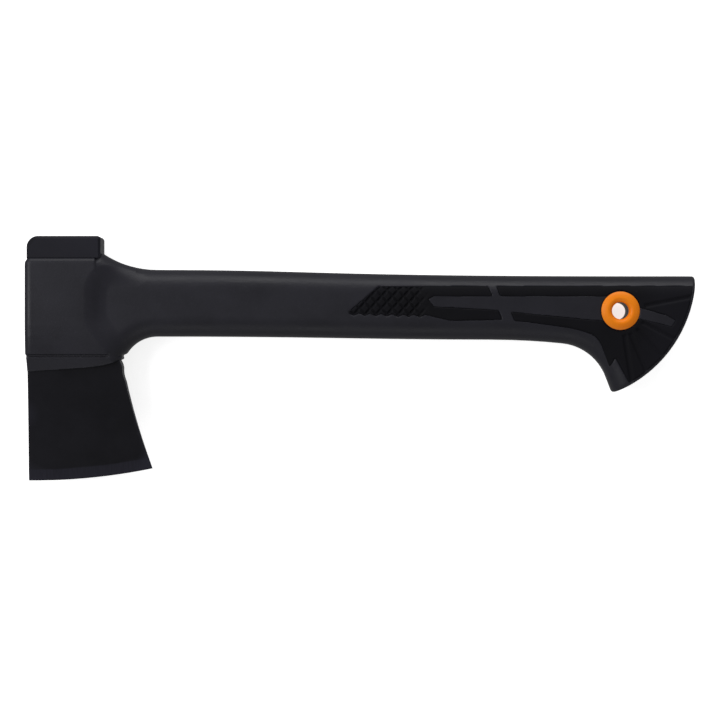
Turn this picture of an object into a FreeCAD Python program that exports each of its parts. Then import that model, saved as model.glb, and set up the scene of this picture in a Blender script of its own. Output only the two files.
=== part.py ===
import FreeCAD, Part
import math
import operator
import os
from types import SimpleNamespace

import Sketcher

# A one-hand hatchet with a forged steel head and a hollow moulded handle.
#
# Row frame: the hatchet lies on its right side. +X runs along the handle from the head to the
# pommel, +Y runs from the cutting edge to the poll, and +Z is up through the thickness. The
# origin is the centre of the bounding box, on the plane that the hatchet lies on.
#
# Every outline is drawn in the design frame instead: x is measured from just before the head, y
# from the axis of the grip and z from the mid-plane, all in millimetres. Each body's Placement
# carries the design frame to the row frame.
#
# Pieces: the head, the handle moulded round it, four soft grip pads in recesses of the handle,
# the plug that closes the handle's hollow, and the two halves of the eyelet in its hanging hole.

DIMENSIONS = [
    # the steel head
    ("crown_wrap", 1.9, "crown face of the steel"),
    ("poll_top", 33.6, "height of the strike face above the grip axis"),
    ("poll_base", 22.8, "height where the poll meets the collar"),
    ("poll_end", 38.6, "end of the poll, along the handle"),
    ("poll_half", 13.5, "half the thickness of the poll"),
    ("poll_round", 5.6, "radius of the poll's crown corner"),
    ("poll_nose", 1.8, "radius of the poll's handle corner"),
    ("poll_bevel", 1.2, "chamfer round the poll"),
    ("waist_x", 31.0, "how far the waist reaches under the collar"),
    ("waist_low_y", -11.0, "where the waist starts to widen into the beard"),
    ("waist_top_half", 11.4, "half-thickness of the waist under the poll"),
    ("waist_low_half", 9.5, "half-thickness of the waist above the blade"),
    ("lock_radius", 4.5, "radius of the holes that the moulding flows through"),
    ("edge_low", -88.25, "lowest point of the cutting edge"),
    ("edge_radius", 300.0, "radius of the cutting edge"),
    ("edge_centre_x", 3.6, "centre of the cutting edge's arc"),
    ("toe_x", 63.7, "end of the cutting edge, along the handle"),
    ("beard_x", 49.0, "back of the blade under the collar"),
    ("beard_radius", 330.0, "radius of the hollow back of the blade"),
    ("blade_depth", 64.0, "depth of the blade, from its root to the edge"),
    ("bevel_depth", 5.6, "depth of the ground bevel"),
    ("bevel_half", 1.55, "half-thickness of the blade where the bevel starts"),
    ("edge_half", 0.12, "half-thickness of the edge itself"),
    ("cheek_radius", 460.0, "hollow of the blade's cheeks"),
    # the collar moulded round the head
    ("collar_x", 0.9, "crown face of the collar"),
    ("collar_end", 36.0, "end of the collar's flat cheeks"),
    ("collar_half", 15.0, "half-thickness of the collar"),
    ("collar_round", 3.2, "radius of the collar's upright crown edges"),
    ("collar_shoulder", 2.5, "radius of the collar's shoulder under the poll"),
    ("collar_flat_low", -6.0, "where the collar's flat cheeks start to curve in"),
    ("collar_cheek_radius", 90.0, "radius of the cheeks below that"),
    ("collar_low", -25.2, "bottom of the collar, above the groove"),
    ("arch_x", 36.0, "upright side of the arch that the neck leaves the collar by"),
    ("arch_top", 14.2, "top of that arch"),
    ("arch_low", -8.0, "where the arch's side starts to slant towards the beard"),
    ("arch_radius", 6.5, "corner radius of the arch"),
    ("shoulder_end", 56.0, "where the shoulder has sunk into the neck"),
    ("shoulder_round", 8.5, "radius of the shoulder's edge along the neck's upper curve"),
    ("groove_width", 1.3, "width of the groove between collar and lip"),
    ("groove_half", 11.2, "half-thickness at the bottom of the groove"),
    ("lip_top_half", 12.1, "half-thickness of the lip at the groove"),
    ("lip_low_half", 8.9, "half-thickness of the lip at the blade"),
    ("lip_depth", 7.4, "height of the lip at the crown"),
    ("lip_x", 1.5, "crown face of the lip"),
    ("lip_end", 49.6, "end of the lip, round the back of the blade"),
    ("beard_half", 7.5, "half-thickness of collar and lip at the back of the blade"),
    ("beard_round", 18.0, "radius by which they narrow to that"),
    # the handle
    ("neck_half", 11.8, "half-thickness of the neck"),
    ("waist_half", 10.7, "half-thickness at the grip's waist, as a control point"),
    ("palm_half", 13.0, "half-thickness at the palm, as a control point"),
    ("hook_half", 11.4, "half-thickness in front of the hook, as a control point"),
    ("pommel_half", 13.8, "half-thickness at the pommel, as a control point"),
    ("handle_round", 9.8, "radius of the handle's long edges"),
    ("back_y", 17.05, "back of the handle at the neck"),
    ("back_end_y", 13.8, "back of the handle at the pommel"),
    ("belly_y", -16.3, "belly of the handle at the neck"),
    ("neck_x", 66.0, "where the neck's curves run out into the handle"),
    ("neck_top_radius", 49.0, "radius of the neck's upper curve"),
    ("neck_low_radius", 17.5, "radius of the neck's lower curve"),
    ("hook_x", 268.6, "where the belly turns into the hook"),
    ("hook_y", -19.7, "height of the belly there"),
    ("hook_radius", 26.0, "radius of the hook's inner curve"),
    ("hook_start_angle", 6.0, "slope of the belly at the hook, degrees"),
    ("hook_end_angle", 69.0, "slope of the hook near its tip, degrees"),
    ("end_radius", 64.3, "radius of the pommel's end face"),
    ("end_centre_x", 269.9, "centre of the end face's arc"),
    ("end_centre_y", 15.5, "height of that centre"),
    ("end_round", 1.5, "radius of the end face's rim"),
    ("core_x", 64.0, "front end of the hollow core"),
    ("core_top", 9.5, "top of the hollow core"),
    ("core_low", -11.5, "bottom of the hollow core"),
    ("core_half", 7.2, "half-thickness of the hollow core"),
    ("core_round", 4.5, "corner radius of the hollow core"),
    ("plug_x", 316.0, "inner end of the core plug"),
    ("plug_wall", 2.0, "wall of the plug's skirt"),
    ("plug_cup", 9.0, "depth of the plug's cup"),
    # the eyelet
    ("eye_x", 296.65, "centre of the hanging hole"),
    ("eye_y", -3.5, "height of the hanging hole"),
    ("eye_hole", 4.2, "radius of the hanging hole"),
    ("eye_spigot", 5.4, "radius of the socket that joins the halves"),
    ("eye_slack", 0.1, "slack of the spigot in the socket"),
    ("eye_barrel", 6.5, "outer radius of the barrel"),
    ("eye_flange", 9.5, "outer radius of the flange"),
    ("eye_seat", 11.0, "half the distance between the two flange seats"),
    ("eye_rim", 12.5, "height of the flange's outer rim"),
    ("eye_crown", 13.8, "height of the flange's crown"),
    ("eye_crown_radius", 7.0, "radius of the flange's crown"),
    ("eye_mouth_radius", 2.3, "rounding of the hole's mouth"),
    ("eye_lap", 4.0, "depth of the socket"),
    # the soft grip pads
    ("pad_depth", 1.4, "depth of the pads' recess"),
    ("pad_proud", 0.25, "how far the pads stand out of the handle"),
    ("pad_top", 8.6, "top of the pads"),
    ("pad_front_x", 161.5, "front corner of the fore pad"),
    ("pad_front_y", -4.4, "height of that corner"),
    ("pad_slant", 15.0, "how far the fore pad's front edge leans back"),
    ("tooth_pitch", 5.45, "pitch of the teeth along the fore pad's lower edge"),
    ("tooth_depth", 1.6, "depth of those teeth"),
    ("tongue_x", 201.2, "tip of the bare tongue between the pads' bands"),
    ("tongue_y", 2.2, "height of that tip"),
    ("tongue_top", 3.8, "top of the tongue"),
    ("tongue_low", -1.6, "bottom of the tongue, behind its tip"),
    ("gap_x", 231.0, "top of the slanted gap between the pads"),
    ("gap_lean", 0.42, "how far that gap leans back for each millimetre down"),
    ("gap_width", 4.0, "width of the gap in the upper band"),
    ("gap_width_low", 6.0, "width of the gap in the lower band"),
    ("pad_low", -8.4, "bottom of the pads at the gap"),
    ("fan_inset", 1.4, "distance of the rear pad from the end face"),
    ("fan_low_x", 300.9, "lower corner of the rear pad, in the hook"),
    ("pad_clear", 0.4, "clearance of the rear pad round the eyelet"),
    ("wedge_x", 324.0, "far end of the bare wedge behind the eyelet"),
    ("wedge_top", -5.5, "height of the wedge's upper corner there"),
    ("wedge_low", -11.5, "height of its lower corner"),
]

TEETH = 7  # teeth along the lower edge of the fore pad
FAR = 40  # reaches past the hatchet's thickness, mm
GRIP_FRONT = 20  # the handle's own form starts here, inside the collar
PAST_END = 30  # the handle's form is drawn this far past the end face, then trimmed
START, END, CENTRE = 1, 2, 3  # the sketcher's numbers for the points of an edge
AXES = -1  # the sketcher's number for its horizontal axis, which starts at the origin


# ---------------------------------------------------------------- sizes that know their formula


def as_size(thing):
    return thing if isinstance(thing, Size) else Size(thing, f"({thing})")


def operation(sign, work):
    """An operation on two sizes that also writes down its formula."""

    def apply(first, second):
        first, second = as_size(first), as_size(second)
        formula = f"({first.formula} {sign} {second.formula})"
        return Size(work(first.value, second.value), formula)

    return apply


def function(name, work):
    """A function of one size that also writes down its formula."""
    return lambda size: Size(work(as_size(size).value), f"{name}({as_size(size).formula})")


class Size:
    """A number together with its formula in the sheet's names, so that it can drive a feature."""

    def __init__(self, value, formula):
        self.value = float(value)
        self.formula = formula

    __add__ = operation("+", operator.add)
    __sub__ = operation("-", operator.sub)
    __mul__ = operation("*", operator.mul)
    __truediv__ = operation("/", operator.truediv)

    def __radd__(self, other):
        return as_size(other) + self

    def __rsub__(self, other):
        return as_size(other) - self

    def __rmul__(self, other):
        return as_size(other) * self

    def __neg__(self):
        return as_size(0) - self


root = function("sqrt", math.sqrt)
sine = function("sin", lambda degrees: math.sin(math.radians(degrees)))
cosine = function("cos", lambda degrees: math.cos(math.radians(degrees)))


def leg(hypotenuse, other):
    """The other leg of a right-angled triangle."""
    return root(hypotenuse * hypotenuse - other * other)


def make_sheet(doc):
    """The driving dimensions, one to a row: name, number and meaning."""
    sheet = doc.addObject("Spreadsheet::Sheet", "Sheet")
    for row, (alias, number, meaning) in enumerate(DIMENSIONS, start=1):
        sheet.set(f"A{row}", alias)
        sheet.set(f"B{row}", str(number))
        sheet.setAlias(f"B{row}", alias)
        sheet.set(f"C{row}", meaning)
    doc.recompute()
    return SimpleNamespace(
        **{alias: Size(sheet.get(alias), f"Sheet.{alias}") for alias, _, _ in DIMENSIONS}
    )


doc = FreeCAD.newDocument("hatchet")
d = make_sheet(doc)


# ---------------------------------------------------------------- sketches and features


def new_body(name):
    """A body whose Placement carries the design frame to the row frame."""
    body = doc.addObject("PartDesign::Body", name)
    body.Label = name
    far_end = end_x(d.back_end_y - d.end_round)
    shift = (-(far_end + d.collar_x) / 2, -(d.poll_top + d.edge_low) / 2, d.collar_half)
    for axis, size in zip("xyz", shift):
        body.setExpression(f"Placement.Base.{axis}", size.formula)
    return body


def new_sketch(body, plane, out=0):
    """A sketch on one of the body's own origin planes, moved out along the plane's normal."""
    sketch = body.newObject("Sketcher::SketchObject", f"{body.Name}_sketch")
    found = next(f for f in body.Origin.OriginFeatures if f.Role == plane)
    sketch.AttachmentSupport = (found, [""])
    sketch.MapMode = "FlatFace"
    sketch.setExpression("AttachmentOffset.Base.z", as_size(out).formula)
    return sketch


def hold(sketch, constraint, size):
    """Adds a constraint and binds it to the size's formula."""
    index = sketch.addConstraint(constraint)
    sketch.setExpression(f"Constraints[{index}]", size.formula)


def pin(sketch, geometry, end, point):
    """Holds one point of an edge at a place measured from the sketch's origin."""
    for kind, size in zip(("DistanceX", "DistanceY"), map(as_size, point)):
        hold(sketch, Sketcher.Constraint(kind, AXES, START, geometry, end, size.value), size)


def vector(point):
    return FreeCAD.Vector(as_size(point[0]).value, as_size(point[1]).value, 0)


def add_arc(sketch, start, end, radius, turn):
    """The shorter arc from start to end: turn is 1 for counter-clockwise and -1 for clockwise."""
    radius = as_size(radius)
    chord = end - start
    sideways = FreeCAD.Vector(chord.y, -chord.x, 0).normalize()
    sagitta = radius.value - math.sqrt(radius.value**2 - (chord.Length / 2) ** 2)
    middle = (start + end) / 2 + sideways * sagitta * turn
    geometry = sketch.addGeometry(Part.Arc(start, middle, end))
    hold(sketch, Sketcher.Constraint("Radius", geometry, radius.value), radius)
    return geometry


def add_spline(sketch, start, inner, end):
    """A smooth curve from start to end with the given control points between them."""
    poles = [start, *map(vector, inner), end]
    curve = Part.BSplineCurve(poles, None, None, False, 3, None, False)
    geometry = sketch.addGeometry(curve)
    sketch.exposeInternalGeometry(geometry)
    for place, pole in enumerate(inner, start=2):
        pin(sketch, geometry + place, CENTRE, pole)
    return geometry


def draw_loop(sketch, *steps):
    """Draws a closed loop. Each step is a point, and then what leads to the next step's point:
    nothing for a line, a radius and a turn for an arc, a list of control points for a curve."""
    first = previous = None
    for step, following in zip(steps, steps[1:] + steps[:1]):
        start, end = vector(step[:2]), vector(following[:2])
        near, far = START, END
        if len(step) == 4:
            geometry = add_arc(sketch, start, end, step[2], step[3])
            near, far = (START, END) if step[3] == 1 else (END, START)
        elif len(step) == 3:
            geometry = add_spline(sketch, start, step[2], end)
        else:
            geometry = sketch.addGeometry(Part.LineSegment(start, end))
        pin(sketch, geometry, near, step[:2])
        if previous:
            sketch.addConstraint(Sketcher.Constraint("Coincident", *previous, geometry, near))
        first = first or (geometry, near)
        previous = (geometry, far)
    sketch.addConstraint(Sketcher.Constraint("Coincident", *previous, *first))
    if sketch.solve() != 0:
        raise RuntimeError(f"{sketch.Name} cannot be solved")


def draw_circle(sketch, x, y, radius):
    circle = Part.Circle(vector((x, y)), FreeCAD.Vector(0, 0, 1), radius.value)
    geometry = sketch.addGeometry(circle)
    pin(sketch, geometry, CENTRE, (x, y))
    hold(sketch, Sketcher.Constraint("Radius", geometry, radius.value), radius)


def draw_axis(sketch, start, end):
    """The construction line that a sketch is turned about."""
    geometry = sketch.addGeometry(Part.LineSegment(vector(start), vector(end)), True)
    pin(sketch, geometry, START, start)
    pin(sketch, geometry, END, end)


def check_cut(body, made, before):
    """A cut that points away from its body takes nothing off it and is not an error by itself."""
    doc.recompute()
    if made.Shape.Volume > before - 1:
        raise RuntimeError(f"{made.Name} of {body.Name} cuts nothing")


def pad(body, sketch, length, side="Symmetric", away=False):
    made = body.newObject("PartDesign::Pad", f"{body.Name}_pad")
    made.Profile = sketch
    made.SideType = side
    made.Reversed = away
    made.setExpression("Length", as_size(length).formula)
    doc.recompute()


def pocket(body, sketch, length=4 * FAR, side="Symmetric", away=False):
    before = body.Shape.Volume
    made = body.newObject("PartDesign::Pocket", f"{body.Name}_pocket")
    made.Profile = sketch
    made.SideType = side
    made.Reversed = away
    made.setExpression("Length", as_size(length).formula)
    check_cut(body, made, before)


def revolve(body, sketch):
    made = body.newObject("PartDesign::Revolution", f"{body.Name}_revolution")
    made.Profile = sketch
    made.ReferenceAxis = (sketch, ["Axis0"])
    made.Angle = 360
    doc.recompute()


def groove(body, sketch, angle):
    before = body.Shape.Volume
    made = body.newObject("PartDesign::Groove", f"{body.Name}_groove")
    made.Profile = sketch
    made.ReferenceAxis = (sketch, ["Axis0"])
    made.Angle = angle
    made.Midplane = True
    check_cut(body, made, before)


def dress(body, kind, size, wanted):
    """A Fillet or a Chamfer on the edges that lie wholly where wanted(x, y, z) is true."""
    base = body.Tip
    names = []
    for place, edge in enumerate(base.Shape.Edges, start=1):
        low, high = edge.ParameterRange
        points = [edge.valueAt(low + (high - low) * share) for share in (0.02, 0.5, 0.98)]
        if all(wanted(p.x, p.y, p.z) for p in points):
            names.append(f"Edge{place}")
    if not names:
        raise RuntimeError(f"{body.Name} has no edge for its {kind}")
    made = body.newObject(f"PartDesign::{kind}", f"{body.Name}_{kind.lower()}")
    made.Base = (base, names)
    made.setExpression("Radius" if kind == "Fillet" else "Size", size.formula)
    doc.recompute()


def boolean(kind, name, *shapes):
    """The Fuse or Common of the shapes, or the first shape less all the others."""
    if kind == "Cut":
        made = doc.addObject("Part::Cut", name)
        made.Base = shapes[0]
        made.Tool = shapes[1] if len(shapes) == 2 else boolean("Fuse", f"{name}_tools", *shapes[1:])
    else:
        made = doc.addObject(f"Part::Multi{kind}", name)
        made.Shapes = list(shapes)
    made.Label = name
    doc.recompute()
    return made


def end_x(y, inset=0):
    """Where the end face is at a height, or a curve that runs inset inside it."""
    return d.end_centre_x + leg(d.end_radius - inset, d.end_centre_y - y)


# ---------------------------------------------------------------- the head


def make_head():
    """One forging: poll, waist with two lock holes, and a blade ground to an arc."""
    body = new_body("axe_head")
    edge_centre_y = d.edge_low + d.edge_radius
    outline = new_sketch(body, "XY_Plane")
    draw_loop(
        outline,
        (d.crown_wrap, edge_centre_y - leg(d.edge_radius, d.edge_centre_x - d.crown_wrap)),
        (d.crown_wrap, d.poll_top - d.poll_round, d.poll_round, -1),
        (d.crown_wrap + d.poll_round, d.poll_top),
        (d.poll_end - d.poll_nose, d.poll_top, d.poll_nose, -1),
        (d.poll_end, d.poll_top - d.poll_nose),
        (d.poll_end, d.poll_base),
        (d.waist_x, d.poll_base),
        (d.waist_x, d.waist_low_y),
        (d.beard_x - 1.6, d.collar_low - 2.5, 10, -1),
        (d.beard_x, d.collar_low - 6.5, 14, 1),
        (d.beard_x + 1.3, d.collar_low - 13.2, d.beard_radius, 1),
        (
            d.toe_x,
            edge_centre_y - leg(d.edge_radius, d.toe_x - d.edge_centre_x),
            d.edge_radius,
            -1,
        ),
    )
    pad(body, outline, 2 * d.poll_half)
    above_collar = d.poll_base.value + 0.5
    face = d.poll_half.value - 0.1
    dress(body, "Chamfer", d.poll_bevel, lambda x, y, z: abs(z) > face and y > above_collar)

    waist = new_sketch(body, "YZ_Plane")
    for side in (1, -1):
        draw_loop(
            waist,
            (d.poll_base, side * (d.poll_half + 5)),
            (d.poll_base, side * d.waist_top_half),
            (d.collar_low + 8, side * d.waist_low_half),
            (d.edge_low - 5, side * d.waist_low_half),
            (d.edge_low - 5, side * (d.poll_half + 5)),
        )
    pocket(body, waist)

    blade = new_sketch(body, "YZ_Plane", d.edge_centre_x)
    for side in (1, -1):
        draw_loop(
            blade,
            (d.edge_low + d.blade_depth, side * d.waist_low_half, d.cheek_radius, -side),
            (d.edge_low + d.bevel_depth, side * d.bevel_half),
            (d.edge_low, side * d.edge_half),
            (d.edge_low - 6, side * d.edge_half),
            (d.edge_low - 6, side * (d.poll_half + 5)),
            (d.edge_low + d.blade_depth, side * (d.poll_half + 5)),
        )
    draw_axis(blade, (edge_centre_y, 0), (edge_centre_y, 10))
    groove(body, blade, 60)

    locks = new_sketch(body, "XY_Plane")
    draw_circle(locks, d.crown_wrap + 11, as_size(6), d.lock_radius)
    draw_circle(locks, d.crown_wrap + 20, as_size(-10), d.lock_radius)
    pocket(body, locks)
    return body


# ---------------------------------------------------------------- the handle's outer form


def neck_top(x):
    """Height of the neck's upper curve, which runs out into the back of the handle."""
    return d.back_y + d.neck_top_radius - leg(d.neck_top_radius, d.neck_x - x)


def draw_handle(sketch):
    """The handle from the side: neck, back, hook and belly, not yet trimmed at the pommel."""
    beyond = d.end_centre_x + d.end_radius + PAST_END
    low = d.edge_low + 10
    hook_end_x = d.hook_x + d.hook_radius * (sine(d.hook_end_angle) - sine(d.hook_start_angle))
    hook_end_y = d.hook_y - d.hook_radius * (cosine(d.hook_start_angle) - cosine(d.hook_end_angle))
    slope = cosine(d.hook_end_angle) / sine(d.hook_end_angle)
    neck_low_y = d.belly_y - d.neck_low_radius
    draw_loop(
        sketch,
        (GRIP_FRONT, d.collar_low),
        (GRIP_FRONT, neck_top(d.poll_end)),
        (d.poll_end, neck_top(d.poll_end), d.neck_top_radius, 1),
        (
            d.neck_x,
            d.back_y,
            [
                (d.neck_x + 38, d.back_y),
                (d.neck_x + 84, d.back_y - 1.6),
                (d.neck_x + 134, d.back_end_y + 0.6),
                (d.neck_x + 190, d.back_end_y),
            ],
        ),
        (beyond, d.back_end_y),
        (beyond, low),
        (hook_end_x + (hook_end_y - low) * slope, low),
        (hook_end_x, hook_end_y, d.hook_radius, 1),
        (
            d.hook_x,
            d.hook_y,
            [
                (d.hook_x - 20, d.hook_y + 20 * sine(d.hook_start_angle)),
                (d.hook_x - 50, d.belly_y - 1.7),
                (d.hook_x - 110, d.belly_y - 0.8),
                (d.neck_x + 45, d.belly_y),
            ],
        ),
        (d.neck_x, d.belly_y, d.neck_low_radius, 1),
        (d.neck_x - leg(d.neck_low_radius, d.collar_low - neck_low_y), d.collar_low),
    )


def make_blank(name, thicker):
    """The handle's outer form. It is thicker than the handle by this much on each side."""
    body = new_body(name)
    plan = new_sketch(body, "XY_Plane")
    draw_handle(plan)
    pad(body, plan, FAR)

    sides = new_sketch(body, "XZ_Plane")
    stop = d.end_centre_x + d.end_radius + PAST_END + 5
    controls = [
        (d.neck_x - 20, d.neck_half),
        (d.neck_x + 14, d.neck_half - 0.4),
        (d.neck_x + 50, d.waist_half),
        (d.neck_x + 96, (d.waist_half + d.palm_half) / 2),
        (d.neck_x + 140, d.palm_half),
        (d.neck_x + 186, d.hook_half),
        (d.neck_x + 224, d.hook_half),
        (d.end_centre_x + d.end_radius, d.pommel_half),
    ]
    for side in (1, -1):
        draw_loop(
            sides,
            (
                GRIP_FRONT - 5,
                side * (d.neck_half + thicker),
                [(x, side * (half + thicker)) for x, half in controls],
            ),
            (stop, side * (d.pommel_half + thicker)),
            (stop, side * FAR),
            (GRIP_FRONT - 5, side * FAR),
        )
    pocket(body, sides, 6 * FAR)

    right = stop.value - 6
    low = d.edge_low.value + 11

    def rounded(x, y, z):
        on_back = y > 10 and x > d.poll_end.value
        on_belly = low < y < 0 and x > d.neck_x.value - d.neck_low_radius.value
        off_groove = y > d.collar_low.value + 0.05 or x > d.neck_x.value
        return abs(z) > 8 and x < right and (on_back or on_belly) and off_groove

    dress(body, "Fillet", d.handle_round + thicker, rounded)
    return body


def trim_end(body):
    """Cuts the pommel's end face to its arc."""
    trim = new_sketch(body, "XY_Plane")
    beyond = d.end_centre_x + d.end_radius + PAST_END + 5
    draw_loop(
        trim,
        (d.end_centre_x, d.end_centre_y - d.end_radius, d.end_radius, 1),
        (d.end_centre_x + d.end_radius, d.end_centre_y),
        (d.end_centre_x + d.end_radius, d.end_centre_y + 10),
        (beyond, d.end_centre_y + 10),
        (beyond, d.edge_low - 5),
        (d.end_centre_x, d.edge_low - 5),
    )
    pocket(body, trim)


def make_trimmed_blank():
    """The handle without collar, hollow and recesses, with the rim of its end face rounded."""
    body = make_blank("handle_blank", 0)
    trim_end(body)
    centre_x, centre_y, radius = d.end_centre_x.value, d.end_centre_y.value, d.end_radius.value
    dress(
        body,
        "Fillet",
        d.end_round,
        lambda x, y, z: abs(math.hypot(x - centre_x, y - centre_y) - radius) < 0.05,
    )
    return body


# ---------------------------------------------------------------- the collar round the head


def make_collar_box():
    """The box round the head, with cheeks that curve in towards the blade."""
    body = new_body("collar_box")
    section = new_sketch(body, "YZ_Plane", d.collar_x)
    low_half = collar_low_half()
    flat_top = d.poll_base - d.collar_shoulder
    inner = d.collar_half - d.collar_shoulder
    draw_loop(
        section,
        (d.poll_base, -inner),
        (d.poll_base, inner, d.collar_shoulder, 1),
        (flat_top, d.collar_half),
        (d.collar_flat_low, d.collar_half, d.collar_cheek_radius, 1),
        (d.collar_low, low_half),
        (d.collar_low, -low_half, d.collar_cheek_radius, 1),
        (d.collar_flat_low, -d.collar_half),
        (flat_top, -d.collar_half, d.collar_shoulder, 1),
    )
    pad(body, section, d.collar_end - d.collar_x, side="One side")
    crown = d.collar_x.value + 0.01
    dress(body, "Fillet", d.collar_round, lambda x, y, z: x < crown and abs(z) > 5)
    return body


def collar_low_half():
    """Half-thickness of the collar at its bottom."""
    sag = leg(d.collar_cheek_radius, d.collar_flat_low - d.collar_low)
    return d.collar_half - d.collar_cheek_radius + sag


def make_shoulder():
    """The part of the collar that runs out over the neck, above and below an arch."""
    body = new_body("shoulder")
    plan = new_sketch(body, "XY_Plane")
    draw_loop(
        plan,
        (GRIP_FRONT, d.collar_low),
        (GRIP_FRONT, neck_top(d.poll_end)),
        (d.poll_end, neck_top(d.poll_end), d.neck_top_radius, 1),
        (d.shoulder_end, neck_top(d.shoulder_end)),
        (d.shoulder_end, d.arch_top),
        (d.arch_x + d.arch_radius, d.arch_top, d.arch_radius, 1),
        (d.arch_x, d.arch_top - d.arch_radius),
        (d.arch_x, d.arch_low),
        (d.beard_x, d.collar_low),
    )
    pad(body, plan, FAR)

    sides = new_sketch(body, "XZ_Plane")
    for side in (1, -1):
        draw_loop(
            sides,
            (
                GRIP_FRONT - 5,
                side * d.collar_half,
                [
                    (d.collar_end - 8, side * d.collar_half),
                    (d.collar_end + 2, side * d.collar_half),
                    (d.collar_end + 9, side * (d.neck_half + 0.4)),
                    (d.collar_end + 15, side * (d.neck_half - 0.3)),
                ],
            ),
            (d.shoulder_end + 5, side * (d.neck_half - 0.8)),
            (d.shoulder_end + 5, side * FAR),
            (GRIP_FRONT - 5, side * FAR),
        )
    pocket(body, sides, 6 * FAR)

    cheeks = new_sketch(body, "YZ_Plane")
    for side in (1, -1):
        draw_loop(
            cheeks,
            (d.collar_flat_low, side * d.collar_half, d.collar_cheek_radius, side),
            (d.collar_low, side * collar_low_half()),
            (d.collar_low - 5, side * collar_low_half()),
            (d.collar_low - 5, side * FAR),
            (d.collar_flat_low, side * FAR),
        )
    pocket(body, cheeks)

    end = d.poll_end.value
    dress(body, "Fillet", d.shoulder_round, lambda x, y, z: abs(z) > 5 and x > end and y > 16)

    beside_poll = new_sketch(body, "YZ_Plane", d.poll_end)
    flat_top = d.poll_base - d.collar_shoulder
    inner = d.collar_half - d.collar_shoulder
    for side in (1, -1):
        draw_loop(
            beside_poll,
            (flat_top, side * d.collar_half),
            (flat_top, side * FAR),
            (d.poll_top, side * FAR),
            (d.poll_top, side * inner),
            (d.poll_base, side * inner, d.collar_shoulder, -side),
        )
    pocket(body, beside_poll, side="One side")
    narrow_towards_beard(body)
    return body


def narrow_towards_beard(body):
    """Rounds the collar's lower parts off towards the back of the blade."""
    corner = new_sketch(body, "XZ_Plane", -d.arch_low)
    half = d.collar_half + 0.5
    for side in (1, -1):
        draw_loop(
            corner,
            (d.collar_end + 1, side * half, d.beard_round, -side),
            (d.lip_end + 1.5, side * d.beard_half),
            (d.lip_end + 8, side * d.beard_half),
            (d.lip_end + 8, side * half),
        )
    pocket(body, corner, side="One side", away=True)


def make_lip():
    """The band between the groove and the blade, with a rim that rises towards the handle."""
    body = new_body("lip")
    top = d.collar_low - d.groove_width
    low = top - d.lip_depth
    plan = new_sketch(body, "XY_Plane")
    draw_loop(
        plan,
        (d.lip_x, top),
        (d.lip_end, top),
        (
            d.lip_end,
            top - 0.6,
            [(d.lip_end - 5, top - 3.6), (d.lip_end - 18, low + 1.6), (d.lip_end - 36, low + 1.1)],
        ),
        (d.crown_wrap, low),
    )
    pad(body, plan, FAR)

    cheeks = new_sketch(body, "YZ_Plane")
    for side in (1, -1):
        draw_loop(
            cheeks,
            (top + 1, side * d.lip_top_half),
            (top, side * d.lip_top_half),
            (low, side * d.lip_low_half),
            (low - 5, side * d.lip_low_half),
            (low - 5, side * FAR),
            (top + 1, side * FAR),
        )
    pocket(body, cheeks)
    narrow_towards_beard(body)
    return body


def make_groove_band():
    """The bottom of the groove between collar and lip."""
    body = new_body("groove_band")
    plan = new_sketch(body, "XY_Plane")
    top = d.collar_low + 1
    low = d.collar_low - d.groove_width - 1
    draw_loop(
        plan,
        (d.crown_wrap - 0.3, low),
        (d.crown_wrap - 0.3, top),
        (d.beard_x - 0.5, top),
        (d.beard_x - 0.5, low),
    )
    pad(body, plan, 2 * d.groove_half)
    ends = d.beard_x.value - 1
    dress(body, "Chamfer", d.groove_half - d.beard_half + 0.6, lambda x, y, z: x > ends and abs(z) > 5)
    return body


# ---------------------------------------------------------------- hollow, plug and eyelet


def draw_core_section(sketch, inset=0):
    """The cross-section of the handle's hollow, or of the plug's cup, which is inset in it."""
    half = d.core_half - inset
    top, low = d.core_top - inset, d.core_low + inset
    turn = d.core_round - inset
    draw_loop(
        sketch,
        (low + turn, -half),
        (top - turn, -half, turn, 1),
        (top, turn - half),
        (top, half - turn, turn, 1),
        (top - turn, half),
        (low + turn, half, turn, 1),
        (low, half - turn),
        (low, turn - half, turn, 1),
    )


def make_core():
    """The hollow of the handle, open at the pommel."""
    body = new_body("core")
    section = new_sketch(body, "YZ_Plane", d.core_x)
    draw_core_section(section)
    pad(body, section, d.end_centre_x + d.end_radius + 5 - d.core_x, side="One side")
    return body


def make_plug():
    """The cup that closes the hollow, flush with the end face."""
    body = new_body("end_plug")
    section = new_sketch(body, "YZ_Plane", d.plug_x)
    draw_core_section(section)
    pad(body, section, d.end_centre_x + d.end_radius + 5 - d.plug_x, side="One side")
    trim_end(body)
    cup = new_sketch(body, "YZ_Plane", d.plug_x)
    draw_core_section(cup, d.plug_wall)
    pocket(body, cup, d.plug_cup, side="One side", away=True)
    return body


def make_eyelet(name, side, spigot):
    """One half of the eyelet: barrel and flange, with a socket or with a spigot that fits it."""
    body = new_body(name)
    profile = new_sketch(body, "XZ_Plane", -d.eye_y)
    reach = d.eye_spigot - d.eye_slack if spigot else d.eye_spigot
    lap = -side * (d.eye_lap - 2 * d.eye_slack) if spigot else side * d.eye_lap
    mouth = d.eye_hole + d.eye_mouth_radius
    draw_loop(
        profile,
        (d.eye_x + reach, 0),
        (d.eye_x + d.eye_barrel, 0),
        (d.eye_x + d.eye_barrel, side * d.eye_seat),
        (d.eye_x + d.eye_flange, side * d.eye_seat),
        (d.eye_x + d.eye_flange, side * d.eye_rim, d.eye_crown_radius, side),
        (d.eye_x + mouth, side * d.eye_crown, d.eye_mouth_radius, side),
        (d.eye_x + d.eye_hole, side * (d.eye_crown - d.eye_mouth_radius)),
        (d.eye_x + d.eye_hole, lap),
        (d.eye_x + reach, lap),
    )
    draw_axis(profile, (d.eye_x, 0), (d.eye_x, 10))
    revolve(body, profile)
    return body


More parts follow.
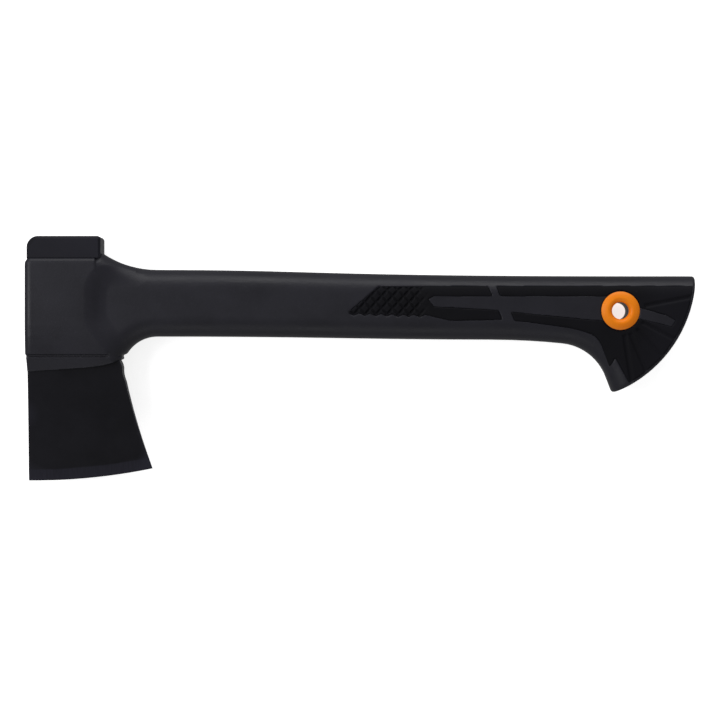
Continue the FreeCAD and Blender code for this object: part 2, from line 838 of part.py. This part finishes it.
def make_eyelet_bore():
    """The hole for the eyelet's barrel and the two seats for its flanges."""
    body = new_body("eyelet_bore")
    profile = new_sketch(body, "XZ_Plane", -d.eye_y)
    draw_loop(
        profile,
        (d.eye_x, -FAR),
        (d.eye_x + d.eye_flange, -FAR),
        (d.eye_x + d.eye_flange, -d.eye_seat),
        (d.eye_x + d.eye_barrel, -d.eye_seat),
        (d.eye_x + d.eye_barrel, d.eye_seat),
        (d.eye_x + d.eye_flange, d.eye_seat),
        (d.eye_x + d.eye_flange, FAR),
        (d.eye_x, FAR),
    )
    draw_axis(profile, (d.eye_x, 0), (d.eye_x, 10))
    revolve(body, profile)
    return body


# ---------------------------------------------------------------- the grip pads


def gap_line(y, width=0):
    """The slanted gap between fore and rear pad, at a height."""
    return d.gap_x + (d.pad_top - y) * d.gap_lean + width


def draw_fore_pad(sketch):
    """A slanted front, a toothed lower edge and, at the back, a band above and below a tongue."""
    teeth = []
    for tooth in reversed(range(TEETH)):
        x = d.pad_front_x + tooth * d.tooth_pitch
        y = d.pad_front_y - 0.15 * tooth
        teeth.append((x + d.tooth_pitch, y - 0.15))
        teeth.append((x + d.tooth_pitch / 2, y - d.tooth_depth))
    draw_loop(
        sketch,
        (d.pad_front_x, d.pad_front_y),
        (d.pad_front_x + d.pad_slant, d.pad_top),
        (gap_line(d.pad_top), d.pad_top),
        (gap_line(d.tongue_top), d.tongue_top),
        (d.tongue_x + 3, d.tongue_top),
        (d.tongue_x, d.tongue_y),
        (d.tongue_x + 3, d.tongue_low),
        (gap_line(d.tongue_low - 1.7), d.tongue_low - 1.7),
        (gap_line(d.pad_low + 0.5), d.pad_low + 0.5),
        (d.tongue_x + 11, d.pad_low),
        *teeth,
    )


def draw_rear_pad(sketch):
    """A band above the tongue, a fan behind the eyelet, with a bare wedge in it, and a band that
    returns below the tongue."""
    clear = d.eye_flange + d.pad_clear
    ring_top = d.eye_x - leg(clear, d.tongue_top - d.eye_y)
    ring_low_y = d.tongue_low - 7
    ring_low = d.eye_x - leg(clear, d.eye_y - ring_low_y)
    rim = d.end_radius - d.fan_inset
    fan_low_y = d.end_centre_y - leg(rim, d.fan_low_x - d.end_centre_x)
    low_gap = d.tongue_low - 2.6
    draw_loop(
        sketch,
        (gap_line(d.pad_top, d.gap_width), d.pad_top),
        (end_x(d.pad_top, d.fan_inset), d.pad_top, rim, -1),
        (d.fan_low_x, fan_low_y),
        (d.fan_low_x - 6.7, fan_low_y + 12.5),
        (d.fan_low_x - 9.6, fan_low_y + 7.7),
        (
            d.fan_low_x - 12.3,
            fan_low_y + 15.2,
            [
                (d.fan_low_x - 14, fan_low_y + 21.5),
                (d.fan_low_x - 19, fan_low_y + 25.5),
                (d.fan_low_x - 33, d.pad_low - 2.6),
            ],
        ),
        (gap_line(d.pad_low, d.gap_width_low), d.pad_low),
        (gap_line(low_gap, d.gap_width_low), low_gap),
        (ring_low - 26, low_gap - 2),
        (ring_low, ring_low_y, clear, 1),
        (d.eye_x, d.eye_y - clear, clear, 1),
        (d.eye_x + leg(clear, 4), d.eye_y - 4),
        (d.wedge_x - 2, d.wedge_low),
        (d.wedge_x, (d.wedge_low + d.wedge_top) / 2),
        (d.wedge_x - 5, d.wedge_top),
        (d.eye_x + leg(clear, 1.5), d.eye_y + 1.5, clear, 1),
        (d.eye_x, d.eye_y + clear, clear, 1),
        (ring_top, d.tongue_top),
        (gap_line(d.tongue_top, d.gap_width), d.tongue_top),
    )


def make_pad(name, draw, above, inner, outer):
    """The tool that cuts a recess on one side of the handle, and the pad that fills it."""
    body = new_body(f"{name}_prism")
    sketch = new_sketch(body, "XY_Plane")
    draw(sketch)
    pad(body, sketch, FAR, side="One side", away=not above)
    recess = boolean("Cut", f"{name}_recess", body, inner)
    return recess, boolean("Common", name, recess, outer)


# ---------------------------------------------------------------- everything together


def make_hatchet():
    """All the pieces, each under the name of its file."""
    head = make_head()
    inner = make_blank("inner_blank", -d.pad_depth)
    outer = make_blank("outer_blank", d.pad_proud)
    recesses, pads = [], []
    for name, draw in (("fore_grip", draw_fore_pad), ("rear_grip", draw_rear_pad)):
        for side, above in (("left", True), ("right", False)):
            recess, soft = make_pad(f"{name}_{side}", draw, above, inner, outer)
            recesses.append(recess)
            pads.append(soft)
    moulding = boolean(
        "Fuse",
        "moulding",
        make_trimmed_blank(),
        make_collar_box(),
        make_shoulder(),
        make_lip(),
        make_groove_band(),
    )
    shell = boolean(
        "Cut", "handle_shell", moulding, head, make_core(), make_eyelet_bore(), *recesses
    )
    eyelets = [make_eyelet("eyelet_left", 1, False), make_eyelet("eyelet_right", -1, True)]
    return [head, shell, *pads, make_plug(), *eyelets]


def check_document():
    """Every object has to be in order before anything is written."""
    for thing in doc.Objects:
        if "Invalid" in thing.State or "Error" in thing.State:
            raise RuntimeError(f"{thing.Name} is in state {thing.State}")


pieces = make_hatchet()
check_document()
os.makedirs("parts", exist_ok=True)
for piece in pieces:
    if piece.Shape.isNull() or not piece.Shape.isValid():
        raise RuntimeError(f"{piece.Label} has a bad shape")
    piece.Shape.exportStep(f"parts/{piece.Label}.step")
    box = piece.Shape.BoundBox
    print(f"{piece.Label}: {piece.Shape.Volume / 1000:.1f} cm3, {len(piece.Shape.Solids)} solid")
    print(f"    x {box.XMin:.2f} {box.XMax:.2f}  y {box.YMin:.2f} {box.YMax:.2f}  z {box.ZMin:.2f}"
          f" {box.ZMax:.2f}")
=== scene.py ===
import bpy
import numpy as np
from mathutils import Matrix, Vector


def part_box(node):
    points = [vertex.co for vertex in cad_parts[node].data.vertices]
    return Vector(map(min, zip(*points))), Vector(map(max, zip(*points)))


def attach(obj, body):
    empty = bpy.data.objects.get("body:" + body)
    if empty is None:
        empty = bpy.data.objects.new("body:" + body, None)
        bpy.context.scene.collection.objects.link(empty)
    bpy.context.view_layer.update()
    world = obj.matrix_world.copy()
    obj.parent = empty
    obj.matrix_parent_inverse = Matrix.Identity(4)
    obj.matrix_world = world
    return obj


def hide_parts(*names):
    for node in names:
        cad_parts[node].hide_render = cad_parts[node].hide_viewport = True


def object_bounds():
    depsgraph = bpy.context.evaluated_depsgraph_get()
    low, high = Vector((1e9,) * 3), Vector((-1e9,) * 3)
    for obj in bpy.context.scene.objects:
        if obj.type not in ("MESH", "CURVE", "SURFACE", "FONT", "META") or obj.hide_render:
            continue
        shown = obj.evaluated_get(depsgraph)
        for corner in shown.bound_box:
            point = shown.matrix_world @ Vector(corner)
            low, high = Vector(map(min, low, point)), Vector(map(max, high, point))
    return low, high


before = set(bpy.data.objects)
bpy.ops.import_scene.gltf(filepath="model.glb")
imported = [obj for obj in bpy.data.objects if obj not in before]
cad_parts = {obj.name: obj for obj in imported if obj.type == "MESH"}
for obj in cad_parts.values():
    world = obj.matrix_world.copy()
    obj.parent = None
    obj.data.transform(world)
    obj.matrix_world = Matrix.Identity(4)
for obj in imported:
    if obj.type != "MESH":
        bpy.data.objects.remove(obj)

MM = 0.001
cad_box = [list(corner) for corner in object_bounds()]

# ------------------------------------------------------------------ places, from the CAD model

HEAD_LOW, HEAD_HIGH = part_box("axe_head")
EYE_LOW, EYE_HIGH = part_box("eyelet_left")
FORE_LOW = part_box("fore_grip_left")[0]
EYE = ((EYE_LOW + EYE_HIGH) / 2).to_2d()
MID_Z = (cad_box[0][2] + cad_box[1][2]) / 2

# ------------------------------------------------------------------ sizes of the worked detail

# The cutting edge is an arc, and the bare bevel follows it.
EDGE_RADIUS = 300 * MM
EDGE_CENTRE_ALONG = 1.7 * MM
EDGE_CENTRE = Vector((HEAD_LOW.x + EDGE_CENTRE_ALONG, HEAD_LOW.y + EDGE_RADIUS))
BEVEL_WIDTH = 5.6 * MM
BEVEL_WANDER = 1.2 * MM
BEVEL_FADE_OUT = 0.3 * MM
BEVEL_FADE_IN = 0.2 * MM
THIN_COAT_REACH = 45 * MM

# The line where the collar runs out over the neck, down to the beard: mm along from the head's
# outer side, and mm down from the top of the poll.
ARCH_RUN = ((54, 19.4), (40, 19.6), (35.5, 22.5), (34.1, 26), (34.1, 41.6), (47, 58.8))
ARCH = [(HEAD_LOW.x + along * MM, HEAD_HIGH.y - down * MM) for along, down in ARCH_RUN]
ARCH_PASSES = 160
BEARD = Vector(ARCH[-1])
BEARD_SOFTNESS = 0.06
SOFT_NEAR = 2.5 * MM
SOFT_FAR = 6 * MM
SOFT_FACE_FROM = 8.5 * MM
SOFT_FACE_FULL = 9.5 * MM
SOFT_TOP_DOWN = 14 * MM
SOFT_TOP_FADE = 3 * MM

# Mesh density, and how much of the shell's is kept once it is shaped.
PAD_VOXEL = 0.35 * MM
PAD_RELAX = 3
SHELL_VOXEL = 0.45 * MM
SHELL_RELAX = 1
SHELL_SHARE = 0.27
RELAX_FACTOR = 0.5

# How far a face must turn outwards, as the Z of its normal, to carry the pads' pattern.
OUTWARD_FROM = 0.35
OUTWARD_FULL = 0.75

KNURL_PITCH = 5.5 * MM
KNURL_RISE = 6.0 * MM
KNURL_LENGTH = 41 * MM
KNURL_FADE = 8 * MM
KNURL_DEPTH = 0.8 * MM
# Half widths of a valley's floor and of its mouth, as shares of the pitch.
VALLEY_FLOOR = 0.06
VALLEY_MOUTH = 0.2

RIB_ANGLES = (11, -28, -48, -67, -81)
RIB_DEPTH = 0.6 * MM
RIB_HALF = 1.5 * MM
RIB_FLOOR_SHARE = 0.25
RIB_START = 11.5 * MM
RIB_FADE = 1.5 * MM

# ------------------------------------------------------------------ levels of the materials

# Greys and colours are linear, from 0 to 1.
NYLON_LEVEL = 0.0112
NYLON_ROUGH = 0.46
PLUG_LEVEL = 0.0095
PLUG_ROUGH = 0.5
RUBBER_LEVEL = 0.0036
COAT_DARK = 0.0032
COAT_LIGHT = 0.0052
COAT_THIN = 0.0065
COAT_SCRATCHED = 0.012
STEEL_DARK = 0.012
STEEL_LIGHT = 0.016
STEEL_WORN = 0.02
ORANGE_DEEP = (0.94, 0.235, 0.004, 1)
ORANGE_LIGHT = (1.0, 0.265, 0.006, 1)
# Painted shade for the eyelet's creases, and painted shadow for the inside of its hole.
ORANGE_PAINTED_SHADE = (0.45, 0.09, 0.006, 1)
HOLE_PAINTED_SHADOW = (0.02, 0.008, 0.004, 1)
HOLE_SHADOW_FROM = 10.8 * MM
HOLE_SHADOW_FULL = 8.5 * MM
# Where painted light makes the rear pad paler behind the eyelet.
LIT_END_FROM = 8 * MM
LIT_END_FULL = 20 * MM
PAPER_DARK = (0.9, 0.9, 0.9, 1)
PAPER_LIGHT = (0.95, 0.95, 0.95, 1)
PAPER_GLOW = 0.75

# ------------------------------------------------------------------ numbers of the studio

FLOOR_SIZE = 12
FLOOR_GAP = 0.2 * MM
WORLD_LEVEL = 0.31
CAMERA_HEIGHT = 1.6
CAMERA_SHIFT = -0.4 * MM
CAMERA_SENSOR = 36
CAMERA_REACH = 20
VIEW_WIDTH = 0.3595
# name, place, aim, width and depth in metres, then watts
SOFTBOXES = (
    ("back", (0, 1.3, 0.55), (0, 0, 0), 1.6, 0.5, 11.0),
    ("front", (0, -1.3, 0.6), (0, 0, 0), 1.6, 0.5, 2.4),
    ("left", (-0.7, 0.15, 0.7), (-0.13, 0.02, 0), 0.5, 0.5, 3.8),
)


# ------------------------------------------------------------------ material helpers


class Nodes:
    """Builds a material's node tree from the shader backwards."""

    def __init__(self, name):
        self.material = bpy.data.materials.new(name)
        self.material.use_nodes = True
        self.tree = self.material.node_tree
        self.tree.nodes.clear()
        output = self.tree.nodes.new("ShaderNodeOutputMaterial")
        self.shader = self.tree.nodes.new("ShaderNodeBsdfPrincipled")
        self.link(self.shader.outputs[0], output.inputs["Surface"])
        coordinates = self.tree.nodes.new("ShaderNodeTexCoord")
        self.place = coordinates.outputs["Object"]

    def link(self, source, target):
        self.tree.links.new(source, target)

    def put(self, value, socket):
        """Sets a socket, or links it where the value is another node's output."""
        if isinstance(value, bpy.types.NodeSocket):
            self.link(value, socket)
        else:
            socket.default_value = value

    def stretched(self, scale):
        """The object's coordinates, scaled along each axis."""
        node = self.tree.nodes.new("ShaderNodeMapping")
        node.inputs["Scale"].default_value = scale
        self.link(self.place, node.inputs["Vector"])
        return node.outputs[0]

    def noise(self, scale, detail, rough, place=None):
        """Cloudy noise, its scale in cells per metre."""
        node = self.tree.nodes.new("ShaderNodeTexNoise")
        node.inputs["Scale"].default_value = scale
        node.inputs["Detail"].default_value = detail
        node.inputs["Roughness"].default_value = rough
        self.link(place or self.place, node.inputs["Vector"])
        return node.outputs["Fac"]

    def cells(self, scale):
        """Rounded cells, their scale in cells per metre."""
        node = self.tree.nodes.new("ShaderNodeTexVoronoi")
        node.inputs["Scale"].default_value = scale
        self.link(self.place, node.inputs["Vector"])
        return node.outputs["Distance"]

    def ranged(self, value, low, high, to_low=0.0, to_high=1.0):
        """Maps low..high onto to_low..to_high, and holds it there."""
        node = self.tree.nodes.new("ShaderNodeMapRange")
        for name, number in zip(
            ("From Min", "From Max", "To Min", "To Max"), (low, high, to_low, to_high)
        ):
            node.inputs[name].default_value = number
        self.link(value, node.inputs["Value"])
        return node.outputs[0]

    def maths(self, operation, first, second=0.0):
        node = self.tree.nodes.new("ShaderNodeMath")
        node.operation = operation
        self.put(first, node.inputs[0])
        self.put(second, node.inputs[1])
        return node.outputs[0]

    def mixed(self, share, first, second):
        """One colour or another, by a share from 0 to 1."""
        node = self.tree.nodes.new("ShaderNodeMix")
        node.data_type = "RGBA"
        self.put(share, node.inputs["Factor"])
        self.put(first, node.inputs["A"])
        self.put(second, node.inputs["B"])
        return node.outputs["Result"]

    def mottled(self, clouds, first, second):
        """Soft patches of two colours, where the clouds are thin or thick."""
        return self.mixed(self.ranged(clouds, 0.35, 0.65), first, second)

    def drifting(self, clouds, low, high):
        """A number that drifts between low and high with the clouds."""
        return self.ranged(clouds, 0.3, 0.7, low, high)

    def pointy(self):
        """About 0.5 on a flat, more on an outer edge and less in a crease."""
        return self.tree.nodes.new("ShaderNodeNewGeometry").outputs["Pointiness"]

    def axis(self, name):
        """One of the object's coordinates."""
        node = self.tree.nodes.new("ShaderNodeSeparateXYZ")
        self.link(self.place, node.inputs[0])
        return node.outputs[name]

    def bump(self, height, depth, strength, after=None):
        """Relief of a depth in metres, on top of another relief where one is given."""
        node = self.tree.nodes.new("ShaderNodeBump")
        node.inputs["Distance"].default_value = depth
        node.inputs["Strength"].default_value = strength
        self.link(height, node.inputs["Height"])
        if after:
            self.link(after, node.inputs["Normal"])
        return node.outputs[0]

    def finish(self, **sockets):
        """Sets the shader's sockets, each named with _ for a space."""
        for name, value in sockets.items():
            self.put(value, self.shader.inputs[name.replace("_", " ")])
        return self.material


def grey(level):
    """A black or grey with the slightly blue cast of carbon-black plastic."""
    return (level * 1.02, level, level * 1.5, 1)


# ------------------------------------------------------------------ materials


def moulded_nylon(name, level, rough):
    """Black glass-filled nylon with a fine spark-eroded grain, polished a little by handling."""
    n = Nodes(name)
    clouds = n.noise(scale=38, detail=4, rough=0.6)
    specks = n.noise(scale=900, detail=2, rough=0.5)
    colour = n.mottled(clouds, grey(level * 0.88), grey(level * 1.12))
    colour = n.mixed(n.ranged(specks, 0.62, 0.72, to_high=0.35), colour, grey(level * 1.7))
    worn = n.ranged(n.pointy(), 0.515, 0.56, to_high=0.5)
    colour = n.mixed(worn, colour, grey(level * 1.8))
    pits = n.maths("MULTIPLY", n.cells(scale=1700), 0.6)
    grain = n.maths("ADD", n.noise(scale=2600, detail=2, rough=0.6), pits)
    return n.finish(
        Base_Color=colour,
        Roughness=n.drifting(clouds, rough - 0.05, rough + 0.06),
        Specular_IOR_Level=0.30,
        Normal=n.bump(grain, depth=0.06 * MM, strength=0.55),
    )


def grip_rubber(name, level):
    """Matt black thermoplastic rubber, dusty in its valleys, with painted light making it paler
    behind the eyelet.
    """
    n = Nodes(name)
    clouds = n.noise(scale=60, detail=4, rough=0.6)
    valleys = n.ranged(n.pointy(), 0.49, 0.44)
    dust = n.maths("MULTIPLY", valleys, n.noise(scale=400, detail=3, rough=0.6))
    colour = n.mottled(clouds, grey(level * 0.8), grey(level * 1.2))
    colour = n.mixed(n.ranged(dust, 0.2, 0.6, to_high=0.3), colour, grey(level * 1.6))
    rubbed = n.ranged(n.pointy(), 0.52, 0.6, to_high=0.6)
    colour = n.mixed(rubbed, colour, grey(level * 2.4))
    # Painted light: the pad turns paler behind the eyelet, as if lit more there.
    painted_light_end = n.ranged(n.axis("X"), EYE.x + LIT_END_FROM, EYE.x + LIT_END_FULL, to_high=0.5)
    colour = n.mixed(painted_light_end, colour, grey(level * 2.4))
    grain = n.noise(scale=3200, detail=2, rough=0.6)
    return n.finish(
        Base_Color=colour,
        Roughness=n.drifting(clouds, 0.62, 0.74),
        Specular_IOR_Level=0.12,
        Normal=n.bump(grain, depth=0.05 * MM, strength=0.5),
    )


def coated_steel(name):
    """Forged steel under a dark coating, thin towards the outer side. Bevel and corners are bare."""
    n = Nodes(name)
    flat = n.tree.nodes.new("ShaderNodeCombineXYZ")
    n.link(n.axis("X"), flat.inputs[0])
    n.link(n.axis("Y"), flat.inputs[1])
    reach = n.tree.nodes.new("ShaderNodeVectorMath")
    reach.operation = "DISTANCE"
    n.link(flat.outputs[0], reach.inputs[0])
    reach.inputs[1].default_value = (EDGE_CENTRE.x, EDGE_CENTRE.y, 0)
    radius = reach.outputs["Value"]
    clouds = n.noise(scale=45, detail=4, rough=0.6)
    scratches = n.noise(scale=130, detail=3, rough=0.7, place=n.stretched((9, 1, 1)))
    wander = n.maths("MULTIPLY", n.maths("SUBTRACT", clouds, 0.5), BEVEL_WANDER)
    bevel = EDGE_RADIUS - BEVEL_WIDTH
    line = n.maths("ADD", radius, wander)
    bare = n.ranged(line, bevel - BEVEL_FADE_OUT, bevel + BEVEL_FADE_IN)
    worn = n.ranged(n.pointy(), 0.53, 0.62, to_high=0.7)
    coat = n.mottled(clouds, grey(COAT_DARK), grey(COAT_LIGHT))
    coat = n.mixed(n.ranged(scratches, 0.62, 0.75, to_high=0.25), coat, grey(COAT_SCRATCHED))
    thin = n.ranged(n.axis("X"), HEAD_LOW.x + THIN_COAT_REACH, HEAD_LOW.x, to_high=0.6)
    coat = n.mixed(thin, coat, grey(COAT_THIN))
    steel = n.mixed(n.ranged(scratches, 0.4, 0.6), grey(STEEL_DARK), grey(STEEL_LIGHT))
    colour = n.mixed(bare, coat, steel)
    colour = n.mixed(worn, colour, grey(STEEL_WORN))
    grain = n.noise(scale=1500, detail=3, rough=0.6)
    lines = n.noise(scale=500, detail=2, rough=0.6, place=n.stretched((6, 0.4, 1)))
    ground = n.bump(lines, depth=0.03 * MM, strength=0.5)
    return n.finish(
        Base_Color=colour,
        Roughness=n.drifting(clouds, 0.36, 0.46),
        Specular_IOR_Level=0.17,
        Normal=n.bump(grain, depth=0.04 * MM, strength=0.35, after=ground),
    )


def orange_plastic(name):
    """Orange plastic, with painted shadow darkening the hole's wall towards its middle, and painted
    shade in its creases.
    """
    n = Nodes(name)
    clouds = n.noise(scale=90, detail=4, rough=0.6)
    colour = n.mottled(clouds, ORANGE_DEEP, ORANGE_LIGHT)
    # Painted shade: the flange turns a darker orange in its creases.
    shade = n.ranged(n.pointy(), 0.5, 0.42, to_high=0.5)
    colour = n.mixed(shade, colour, ORANGE_PAINTED_SHADE)
    # Painted shadow: the hole's wall turns near black towards the middle of its depth.
    from_middle = n.maths("ABSOLUTE", n.maths("SUBTRACT", n.axis("Z"), MID_Z))
    hole_shadow = n.ranged(from_middle, HOLE_SHADOW_FROM, HOLE_SHADOW_FULL)
    grain = n.noise(scale=2400, detail=2, rough=0.5)
    colour = n.mixed(hole_shadow, colour, HOLE_PAINTED_SHADOW)
    return n.finish(
        Base_Color=colour,
        Roughness=n.drifting(clouds, 0.36, 0.46),
        Specular_IOR_Level=0.2,
        Normal=n.bump(grain, depth=0.03 * MM, strength=0.35),
    )


def paper_white(name):
    """The studio's white board. It glows a little, so it stays an even white."""
    n = Nodes(name)
    fibres = n.noise(scale=180, detail=3, rough=0.5)
    white = n.mixed(n.ranged(fibres, 0.3, 0.7), PAPER_DARK, PAPER_LIGHT)
    return n.finish(
        Base_Color=white,
        Roughness=0.9,
        Specular_IOR_Level=0.0,
        Emission_Color=(1, 1, 1, 1),
        Emission_Strength=PAPER_GLOW,
        Normal=n.bump(fibres, depth=0.1 * MM, strength=0.2),
    )


def paint(piece, material):
    piece.data.materials.clear()
    piece.data.materials.append(material)


nylon = moulded_nylon("nylon", NYLON_LEVEL, NYLON_ROUGH)
rubber = grip_rubber("rubber", RUBBER_LEVEL)
plug_nylon = moulded_nylon("plug_nylon", PLUG_LEVEL, PLUG_ROUGH)
paint(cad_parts["end_plug"], plug_nylon)
paint(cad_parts["axe_head"], coated_steel("coated_steel"))
orange = orange_plastic("orange_plastic")
for half in ("eyelet_left", "eyelet_right"):
    paint(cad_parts[half], orange)


# ------------------------------------------------------------------ moulded shell and grip pads


def smooth(value, low, high):
    """0 below low, 1 above high and a smooth step between them, for whole arrays."""
    share = np.clip((value - low) / (high - low), 0, 1)
    return share * share * (3 - 2 * share)


def knurl(x, y):
    """Depth of the valleys between staggered raised diamonds at the front of the fore pad."""
    along = (x - FORE_LOW.x) / KNURL_PITCH
    across = (y - FORE_LOW.y) / KNURL_RISE
    valleys = 0
    for slant in (along + across, along - across):
        from_line = np.abs(slant - np.round(slant))
        valleys = np.maximum(valleys, 1 - smooth(from_line, VALLEY_FLOOR, VALLEY_MOUTH))
    fade = 1 - smooth(x - FORE_LOW.x, KNURL_LENGTH - KNURL_FADE, KNURL_LENGTH)
    return KNURL_DEPTH * valleys * fade


def fan_ribs(x, y):
    """Depth of the grooves that fan out behind the eyelet on the rear pad."""
    out = np.hypot(x - EYE.x, y - EYE.y)
    turn = np.degrees(np.arctan2(y - EYE.y, x - EYE.x))
    grooves = 0
    for angle in RIB_ANGLES:
        aside = out * np.sin(np.radians(np.clip(np.abs(turn - angle), 0, 90)))
        groove = 1 - smooth(aside, RIB_FLOOR_SHARE * RIB_HALF, RIB_HALF)
        grooves = np.maximum(grooves, groove)
    return RIB_DEPTH * grooves * smooth(out, RIB_START, RIB_START + RIB_FADE)


def keep_result(piece):
    """Makes what the modifiers show the piece's own mesh, shaded smooth."""
    bpy.context.view_layer.update()
    done = piece.evaluated_get(bpy.context.evaluated_depsgraph_get())
    mesh = bpy.data.meshes.new_from_object(done)
    piece.modifiers.clear()
    piece.data = mesh
    mesh.polygons.foreach_set("use_smooth", [True] * len(mesh.polygons))


def remeshed(node, name, voxel, relax_passes):
    """A copy of a node made of even small faces, so that its form can be worked on."""
    piece = bpy.data.objects.new(name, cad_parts[node].data.copy())
    bpy.context.scene.collection.objects.link(piece)
    remesh = piece.modifiers.new("even", "REMESH")
    remesh.mode = "VOXEL"
    remesh.voxel_size = voxel
    relax = piece.modifiers.new("relax", "SMOOTH")
    relax.factor = RELAX_FACTOR
    relax.iterations = relax_passes
    keep_result(piece)
    return piece


def vertex_array(mesh, kind):
    """A vector of each vertex, such as its place, as rows of three numbers."""
    values = np.empty(len(mesh.vertices) * 3)
    mesh.vertices.foreach_get(kind, values)
    return values.reshape(-1, 3)


def settle(piece, places, node, material):
    """Writes the worked form back, inside the node's own box, and takes the node's place."""
    low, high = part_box(node)
    places = np.clip(places, np.array(low), np.array(high))
    piece.data.vertices.foreach_set("co", places.ravel())
    piece.data.update()
    paint(piece, material)
    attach(piece, "root")
    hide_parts(node)


def make_grip(node, outward, depth_at):
    """A pad with its pattern sunk into the face that the hand touches."""
    pad = remeshed(node, f"{node}_moulded", PAD_VOXEL, PAD_RELAX)
    places = vertex_array(pad.data, "co")
    normals = vertex_array(pad.data, "normal")
    outer = smooth(normals[:, 2] * outward, OUTWARD_FROM, OUTWARD_FULL)
    depth = depth_at(places[:, 0], places[:, 1]) * outer
    settle(pad, places - normals * depth[:, None], node, rubber)


def distance_to_path(x, y, path):
    """Distance of each point from a line of straight runs, seen from above."""
    nearest = np.full(len(x), np.inf)
    for start, end in zip(path, path[1:]):
        run = np.subtract(end, start)
        share = ((x - start[0]) * run[0] + (y - start[1]) * run[1]) / np.dot(run, run)
        share = np.clip(share, 0, 1)
        away = np.hypot(x - start[0] - share * run[0], y - start[1] - share * run[1])
        nearest = np.minimum(nearest, away)
    return nearest


def thin_out(piece, share):
    """Merges faces where the form is smooth, down to a share of them."""
    fewer = piece.modifiers.new("fewer", "DECIMATE")
    fewer.ratio = share
    keep_result(piece)


def make_shell():
    """The moulded handle, softened where the collar runs out over the neck and at the beard."""
    shell = remeshed("handle_shell", "handle_moulded", SHELL_VOXEL, SHELL_RELAX)
    places = vertex_array(shell.data, "co")
    edges = np.empty(len(shell.data.edges) * 2, dtype=int)
    shell.data.edges.foreach_get("vertices", edges)
    first, second = edges.reshape(-1, 2).T
    count = len(places)
    from_arch = distance_to_path(places[:, 0], places[:, 1], ARCH)
    near = 1 - smooth(from_arch, SOFT_NEAR, SOFT_FAR)
    near *= smooth(np.abs(places[:, 2] - MID_Z), SOFT_FACE_FROM, SOFT_FACE_FULL)
    near *= smooth(HEAD_HIGH.y - SOFT_TOP_DOWN - places[:, 1], 0, SOFT_TOP_FADE)
    from_beard = np.hypot(places[:, 0] - BEARD.x, places[:, 1] - BEARD.y)
    near = np.maximum(near, BEARD_SOFTNESS * (1 - smooth(from_beard, SOFT_NEAR, SOFT_FAR)))
    degree = np.bincount(first, minlength=count) + np.bincount(second, minlength=count)
    for _ in range(ARCH_PASSES):
        for axis in range(3):
            values = places[:, axis]
            around = np.bincount(first, values[second], count)
            around += np.bincount(second, values[first], count)
            places[:, axis] = values + near * (around / degree - values)
    settle(shell, places, "handle_shell", nylon)
    thin_out(shell, SHELL_SHARE)


for side, outward in (("left", 1), ("right", -1)):
    make_grip(f"fore_grip_{side}", outward, knurl)
    make_grip(f"rear_grip_{side}", outward, fan_ribs)
make_shell()


# ------------------------------------------------------------------ studio


def make_floor():
    """A pale floor just under the hatchet. It lights nothing and isn't mirrored in the steel."""
    bpy.ops.mesh.primitive_grid_add(x_subdivisions=8, y_subdivisions=8, size=FLOOR_SIZE)
    floor = bpy.context.object
    floor.name = "floor"
    floor.location.z = cad_box[0][2] - FLOOR_GAP
    paint(floor, paper_white("paper"))
    floor.visible_diffuse = False
    floor.visible_glossy = False


def make_softbox(name, place, aim, width, depth, watts):
    """A rectangular lamp at a place, turned to face a point."""
    lamp = bpy.data.lights.new(name, "AREA")
    lamp.shape = "RECTANGLE"
    lamp.size = width
    lamp.size_y = depth
    lamp.energy = watts
    box = bpy.data.objects.new(name, lamp)
    bpy.context.scene.collection.objects.link(box)
    box.location = place
    box.rotation_euler = (Vector(aim) - Vector(place)).to_track_quat("-Z", "Y").to_euler()


def make_world(level):
    """Even grey light from all round."""
    world = bpy.data.worlds.new("studio")
    world.use_nodes = True
    background = world.node_tree.nodes["Background"]
    background.inputs["Color"].default_value = (level, level, level, 1)
    background.inputs["Strength"].default_value = 1.0
    bpy.context.scene.world = world


def make_camera():
    """Square above the hatchet and far off, as in a catalogue picture."""
    camera = bpy.data.cameras.new("camera")
    camera.sensor_width = CAMERA_SENSOR
    camera.lens = CAMERA_SENSOR * CAMERA_HEIGHT / VIEW_WIDTH
    camera.clip_end = CAMERA_REACH
    holder = bpy.data.objects.new("camera", camera)
    bpy.context.scene.collection.objects.link(holder)
    holder.location = (CAMERA_SHIFT, CAMERA_SHIFT, MID_Z + CAMERA_HEIGHT)
    bpy.context.scene.camera = holder


make_floor()
make_world(WORLD_LEVEL)
for softbox in SOFTBOXES:
    make_softbox(*softbox)
make_camera()
bpy.context.scene.view_settings.view_transform = "Standard"
bpy.context.scene.view_settings.look = "None"
